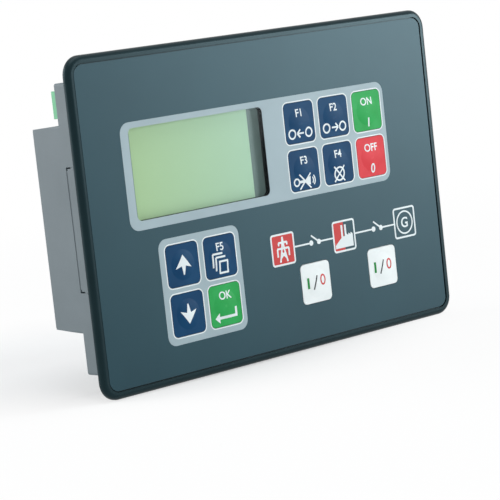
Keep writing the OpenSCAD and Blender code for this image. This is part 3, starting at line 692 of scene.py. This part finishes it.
for name, shapes in symbols.items():
    legend(name, [(loops, white_ink) for loops in shapes])
for name in ("key_mains_breaker", "key_generator_breaker"):
    legend(name, [
        ([stroke_loop((-4.2, -1.9), (-4.2, 2.2), bar_line)], green_ink),
        ([stroke_loop((-1.7, -2.6), (0.4, 2.6), slash_line)], dark_ink),
        (ring_loops(3.35, 0.6, 3.0, 4.2, symbol_line), red_ink),
    ])

# Main board
# A glass-fibre board with green solder mask, screwed to the bezel's bosses. It carries the key
# switches, the mimic lamps, the processor, driver chips and the clock battery in its holder.

board_mask, tree, shader = new_finish("board_mask")
weave = noise_on_object(tree, 0.7, 1.0)
tracks = tree.nodes.new("ShaderNodeTexBrick")
place = tree.nodes.new("ShaderNodeTexCoord")
stand = tree.nodes.new("ShaderNodeMapping")
stand.inputs["Rotation"].default_value = (math.radians(90), 0, 0)
tree.links.new(place.outputs["Object"], stand.inputs["Vector"])
tree.links.new(stand.outputs["Vector"], tracks.inputs["Vector"])
tracks.inputs["Color1"].default_value = srgb(14, 82, 50)
tracks.inputs["Color2"].default_value = srgb(18, 92, 56)
tracks.inputs["Mortar"].default_value = srgb(30, 116, 72)
tracks.inputs["Scale"].default_value = 120
tree.links.new(tracks.outputs["Color"], shader.inputs["Base Color"])
tree.links.new(between(tree, weave, 0.3, 0.45), shader.inputs["Roughness"])
raise_grain(tree, shader, weave, 0.01, 0.3)
dress(board_mask, "main_board", "power_board")

chip_black = grained("chip_black", srgb(22, 22, 23), srgb(32, 32, 33), rough=(0.5, 0.65),
                     grain=0.15, height=0.01)
dress(chip_black, "processor", "driver_chips", "key_switches", "battery_holder", "board_connector")
lamp_lens = grained("lamp_lens", srgb(236, 230, 190), srgb(246, 240, 208), rough=(0.2, 0.3),
                    grain=0.6, height=0.01)
dress(lamp_lens, "mimic_lamps")
battery_steel = grained("battery_steel", srgb(176, 178, 182), srgb(198, 200, 204), rough=(0.25, 0.4),
                        grain=0.3, height=0.01, metallic=1.0, stretch=(1, 1, 8))
dress(battery_steel, "clock_battery")
screw_zinc = grained("screw_zinc", srgb(168, 170, 174), srgb(196, 198, 200), rough=(0.3, 0.45),
                     grain=0.3, height=0.01, metallic=1.0, edge=0.1)
dress(screw_zinc, "board_screws", "power_board_screws")
spacer_brass = grained("spacer_brass", srgb(190, 160, 88), srgb(212, 182, 106), rough=(0.25, 0.4),
                       grain=0.4, height=0.01, metallic=1.0)
dress(spacer_brass, "board_spacers")

# Power board parts
# Sealed relays, capacitors in shrink sleeves, a wound inductor and moulded current transformers,
# soldered to the second board in the deep box.

relay_case = grained("relay_case", srgb(30, 52, 96), srgb(40, 64, 110), rough=(0.3, 0.42),
                     grain=0.5, height=0.01)
dress(relay_case, "output_relays")
capacitor_sleeve = grained("capacitor_sleeve", srgb(32, 34, 40), srgb(44, 47, 54), rough=(0.3, 0.4),
                           grain=0.8, height=0.01)
dress(capacitor_sleeve, "supply_capacitors")
copper_winding = grained("copper_winding", srgb(150, 84, 44), srgb(184, 108, 60), rough=(0.3, 0.45),
                         grain=0.5, height=0.15, strength=0.8, metallic=0.9, stretch=(1, 6, 1))
dress(copper_winding, "supply_inductor")
sensor_case = grained("sensor_case", srgb(34, 35, 37), srgb(46, 47, 49), rough=(0.45, 0.6),
                      grain=0.3, height=0.02)
dress(sensor_case, "current_sensors")

# Terminal headers
# Green trays on the main board that stand through the rear ledges, with tinned pins for the plugs.
# Each way has a coding rib on the outer wall, so that a plug goes in one way round.

header_green = grained("header_green", srgb(84, 170, 122), srgb(98, 184, 136), rough=(0.35, 0.48),
                       grain=0.4, height=0.02, edge=0.15)
top_headers = ["top_header_1", "top_header_2", "top_header_3", "top_header_4"]
bottom_headers = ["bottom_header_1", "bottom_header_2"]
dress(header_green, *top_headers, *bottom_headers)
terminal_tin = grained("terminal_tin", srgb(186, 186, 180), srgb(208, 208, 202), rough=(0.25, 0.38),
                       grain=0.3, height=0.01, metallic=1.0)
dress(terminal_tin, "top_header_pins", "bottom_header_pins")

header_ways, header_pitch, header_wall, header_floor = 10, 3.81, 0.9, 2.4
rib_w, rib_t, rib_in = 0.9, 0.5, 0.6


def rib_tree():
    """Node tree for a row of coding ribs: ways, pitch, rib size and first place."""
    tree = bpy.data.node_groups.new("coding_ribs", "GeometryNodeTree")
    tree.interface.new_socket("Geometry", in_out="OUTPUT", socket_type="NodeSocketGeometry")
    sockets = {}
    for label, kind in (("Ways", "NodeSocketInt"), ("Pitch", "NodeSocketVector"),
                        ("Rib size", "NodeSocketVector"), ("First rib", "NodeSocketVector"),
                        ("Finish", "NodeSocketMaterial")):
        sockets[label] = tree.interface.new_socket(label, in_out="INPUT", socket_type=kind).identifier
    source = tree.nodes.new("NodeGroupInput")
    row = tree.nodes.new("GeometryNodeMeshLine")
    rib = tree.nodes.new("GeometryNodeMeshCube")
    copies = tree.nodes.new("GeometryNodeInstanceOnPoints")
    solid = tree.nodes.new("GeometryNodeRealizeInstances")
    paint = tree.nodes.new("GeometryNodeSetMaterial")
    result = tree.nodes.new("NodeGroupOutput")
    links = (
        (source.outputs["Ways"], row.inputs["Count"]),
        (source.outputs["First rib"], row.inputs["Start Location"]),
        (source.outputs["Pitch"], row.inputs["Offset"]),
        (source.outputs["Rib size"], rib.inputs["Size"]),
        (row.outputs["Mesh"], copies.inputs["Points"]),
        (rib.outputs["Mesh"], copies.inputs["Instance"]),
        (copies.outputs["Instances"], solid.inputs["Geometry"]),
        (solid.outputs["Geometry"], paint.inputs["Geometry"]),
        (source.outputs["Finish"], paint.inputs["Material"]),
        (paint.outputs["Geometry"], result.inputs["Geometry"]),
    )
    for start, end in links:
        tree.links.new(start, end)
    return tree, sockets


coding_ribs, rib_sockets = rib_tree()


def rib_row(header, side):
    """Plain mesh of one header's ribs, on the wall away from the deep box."""
    low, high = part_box(header)
    depth = high[1] - low[1] - (header_floor + rib_in) * MM
    wall = (high[2] if side > 0 else low[2]) - side * (header_wall + rib_t / 2 - INK_SUNK) * MM
    first_x = (low[0] + high[0]) / 2 - (header_ways - 1) / 2 * header_pitch * MM
    carrier = bpy.data.objects.new(header + "_ribs", bpy.data.meshes.new(header + "_ribs"))
    bpy.context.scene.collection.objects.link(carrier)
    rule = carrier.modifiers.new("coding_ribs", "NODES")
    rule.node_group = coding_ribs
    rule[rib_sockets["Ways"]] = header_ways
    rule[rib_sockets["Pitch"]] = (header_pitch * MM, 0, 0)
    rule[rib_sockets["Rib size"]] = (rib_w * MM, depth, rib_t * MM)
    rule[rib_sockets["First rib"]] = (first_x, high[1] - rib_in * MM - depth / 2, wall)
    rule[rib_sockets["Finish"]] = header_green
    seen = carrier.evaluated_get(bpy.context.evaluated_depsgraph_get())
    mesh = bpy.data.meshes.new_from_object(seen)
    bpy.data.objects.remove(carrier)
    return mesh, header_green


rib_meshes = [rib_row(header, 1) for header in top_headers]
rib_meshes += [rib_row(header, -1) for header in bottom_headers]
laid_piece("header_ribs", rib_meshes, "housing", Matrix.Identity(4))

# Serial port
# A pressed and tinned steel shell around a black core with nine sockets, seated on the lower ledge
# and held by two hexagonal nuts.

port_tin = grained("port_tin", srgb(178, 180, 182), srgb(202, 204, 206), rough=(0.28, 0.42),
                   grain=0.4, height=0.01, metallic=1.0, edge=0.15)
dress(port_tin, "port_shell", "port_nuts")
dress(chip_black, "port_core")

# Rear cover
# One moulding of grey plastic with a fine spark texture: the flange in the panel cut-out, the
# shallow body with its two ledges and the deep box. Four screws hold it to the bezel's posts.

housing_grey = grained("housing_grey", srgb(92, 105, 111), srgb(98, 111, 117), rough=(0.45, 0.6),
                       grain=0.4, height=0.03, strength=0.5, edge=0.25)
dress(housing_grey, "rear_cover")
screw_black = grained("screw_black", srgb(30, 31, 33), srgb(46, 47, 49), rough=(0.35, 0.5),
                      grain=0.3, height=0.01, metallic=0.8, edge=0.1)
dress(screw_black, "cover_screws")

# Rear label
# A blank label of silver polyester with a thin printed border.
# It is glued into the shallow recess in the back of the deep box.

BACK_TO_ROW = Matrix(((-MM, 0, 0, 0), (0, 0, MM, 0), (0, MM, 0, 0), (0, 0, 0, 1)))
label_w, label_h, label_r, label_recess, label_t = 94.0, 42.0, 1.4, 0.3, 0.2
border_in, border_line, border_r, border_inner_r = 2.0, 0.5, 1.0, 0.8
label_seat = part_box("rear_cover")[1][1] / MM - label_recess
label_front = label_seat + label_t
label_silver = grained("label_silver", srgb(192, 196, 198), srgb(198, 202, 204), rough=(0.36, 0.42),
                       grain=0.3, height=0.01, cloud=40, metallic=0.3)
border_w, border_h = label_w - 2 * border_in, label_h - 2 * border_in
inside_w, inside_h = border_w - 2 * border_line, border_h - 2 * border_line
border_loops = [rounded_loop(0, 0, border_w, border_h, border_r),
                rounded_loop(0, 0, inside_w, inside_h, border_inner_r)]
label_loop = rounded_loop(0, 0, label_w, label_h, label_r)
laid_piece("blank_label", [
    (filled_mesh("label", [label_loop], label_seat - INK_SUNK, label_front), label_silver),
    (filled_mesh("border", border_loops, label_front - INK_SUNK, label_front + INK_PROUD), dark_ink),
], "housing", BACK_TO_ROW)

# Terminal numbers
# Plain numbers in pale ink, one beside each way of the headers.
# They are pad-printed on the two ledges and count on from the top to the bottom.

ledge_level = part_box("port_shell")[0][1] / MM
number_h, number_out, number_lift, number_t = 1.2, 1.1, 0.01, 0.015
pale_ink = ink("pale_ink", (214, 218, 220))
number_parts = []
number = 0
for headers, side in ((top_headers, 1), (bottom_headers, -1)):
    for header in headers:
        low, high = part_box(header)
        row_y = ((high[2] if side > 0 else low[2]) / MM) + side * number_out
        first_x = (low[0] + high[0]) / 2 / MM - (header_ways - 1) / 2 * header_pitch
        for way in range(header_ways):
            number += 1
            x = first_x + way * header_pitch
            mesh = letter_mesh(str(number), -x, row_y, number_h, ledge_level + number_lift, number_t)
            number_parts.append((mesh, pale_ink))
laid_piece("terminal_numbers", number_parts, "housing", BACK_TO_ROW)

# Studio
# A pale floor that fades into a white surround, a large soft light behind the left end, one from
# above, a smaller one from the right that glances off the film, and a camera at the photo's angle.


def seen_ray(tree):
    """One for rays that show the background: camera, glossy and transmission rays."""
    path = tree.nodes.new("ShaderNodeLightPath")
    shown = path.outputs["Is Camera Ray"]
    for ray in ("Is Glossy Ray", "Is Transmission Ray"):
        either = tree.nodes.new("ShaderNodeMath")
        either.operation = "MAXIMUM"
        tree.links.new(shown, either.inputs[0])
        tree.links.new(path.outputs[ray], either.inputs[1])
        shown = either.outputs[0]
    return shown


floor_half = 3.0
floor_gap = 0.2
floor_level = cad_box[0][2] - floor_gap * MM
shadow_spot = (-0.02, 0.08, floor_level)
fade_steps = ((0.03, 0.1), (0.14, 0.9), (0.6, 1.0))
floor_mesh = bpy.data.meshes.new("floor")
floor_signs = ((-1, -1), (1, -1), (1, 1), (-1, 1))
floor_corners = [(x * floor_half, y * floor_half, floor_level) for x, y in floor_signs]
floor_mesh.from_pydata(floor_corners, [], [(0, 1, 2, 3)])
floor = bpy.data.objects.new("floor", floor_mesh)
bpy.context.scene.collection.objects.link(floor)
floor_pale, tree, shader = new_finish("floor_pale")
patches = noise_on_object(tree, 400, 2.0)
paper = spread(tree, patches, srgb(240, 241, 242), srgb(246, 247, 248))
tree.links.new(paper, shader.inputs["Base Color"])
shader.inputs["Roughness"].default_value = 0.9
shader.inputs["Specular IOR Level"].default_value = 0.1
spot = tree.nodes.new("ShaderNodeTexCoord")
reach = tree.nodes.new("ShaderNodeVectorMath")
reach.operation = "DISTANCE"
reach.inputs[1].default_value = shadow_spot
tree.links.new(spot.outputs["Object"], reach.inputs[0])
fade = tree.nodes.new("ShaderNodeValToRGB")
fade.color_ramp.interpolation = "EASE"
fade.color_ramp.elements.new(fade_steps[1][0])
for stop, (distance, white) in zip(fade.color_ramp.elements, fade_steps):
    stop.position = distance
    stop.color = (white, white, white, 1)
tree.links.new(reach.outputs["Value"], fade.inputs["Fac"])
seen = tree.nodes.new("ShaderNodeMath")
seen.operation = "MULTIPLY"
tree.links.new(seen_ray(tree), seen.inputs[0])
tree.links.new(fade.outputs["Color"], seen.inputs[1])
lit = tree.nodes.new("ShaderNodeEmission")
share = tree.nodes.new("ShaderNodeMixShader")
tree.links.new(seen.outputs[0], share.inputs["Fac"])
tree.links.new(shader.outputs["BSDF"], share.inputs[1])
tree.links.new(lit.outputs["Emission"], share.inputs[2])
tree.links.new(share.outputs["Shader"], tree.nodes["Material Output"].inputs["Surface"])
floor_mesh.materials.append(floor_pale)

world = bpy.data.worlds.new("white_surround")
bpy.context.scene.world = world
world.use_nodes = True
tree = world.node_tree
surround = tree.nodes["Background"]
surround.inputs["Color"].default_value = (1, 1, 1, 1)
world_level, seen_level = 0.3, 1.0
tree.links.new(between(tree, seen_ray(tree), world_level, seen_level), surround.inputs["Strength"])


def soft_light(name, place, width, height, watts, tint=(1, 1, 1)):
    """Rectangular soft light that looks at the middle of the part."""
    aim = Vector((0, 0, 0))
    lamp = bpy.data.lights.new(name, "AREA")
    lamp.shape = "RECTANGLE"
    lamp.size = width
    lamp.size_y = height
    lamp.energy = watts
    lamp.color = tint
    holder = bpy.data.objects.new(name, lamp)
    holder.location = place
    holder.rotation_euler = (aim - Vector(place)).to_track_quat("-Z", "Y").to_euler()
    bpy.context.scene.collection.objects.link(holder)


soft_light("back_light", (-0.75, 0.80, 0.35), width=1.0, height=0.8, watts=10.0)
soft_light("top_light", (0.0, -0.2, 1.0), width=1.0, height=0.8, watts=6.0)
soft_light("right_light", (0.90, -0.72, 0.12), width=0.35, height=0.35, watts=8.5, tint=(0.85, 0.96, 1.0))

eye_place = Vector((-0.58661, -0.62475, 0.08352))
eye_aim = Vector((-0.0128, 0.0, -0.01877))
eye_roll = math.radians(6.275)
eye = bpy.data.cameras.new("photo_camera")
eye.sensor_fit = "HORIZONTAL"
eye.sensor_width = 36
eye.lens = 168.38
eye.clip_start = 0.01
camera = bpy.data.objects.new("photo_camera", eye)
look = (eye_aim - eye_place).to_track_quat("-Z", "Y")
camera.rotation_mode = "QUATERNION"
camera.rotation_quaternion = look @ Quaternion((0, 0, 1), -eye_roll)
camera.location = eye_place
bpy.context.scene.collection.objects.link(camera)
bpy.context.scene.camera = camera
bpy.context.scene.view_settings.view_transform = "Standard"
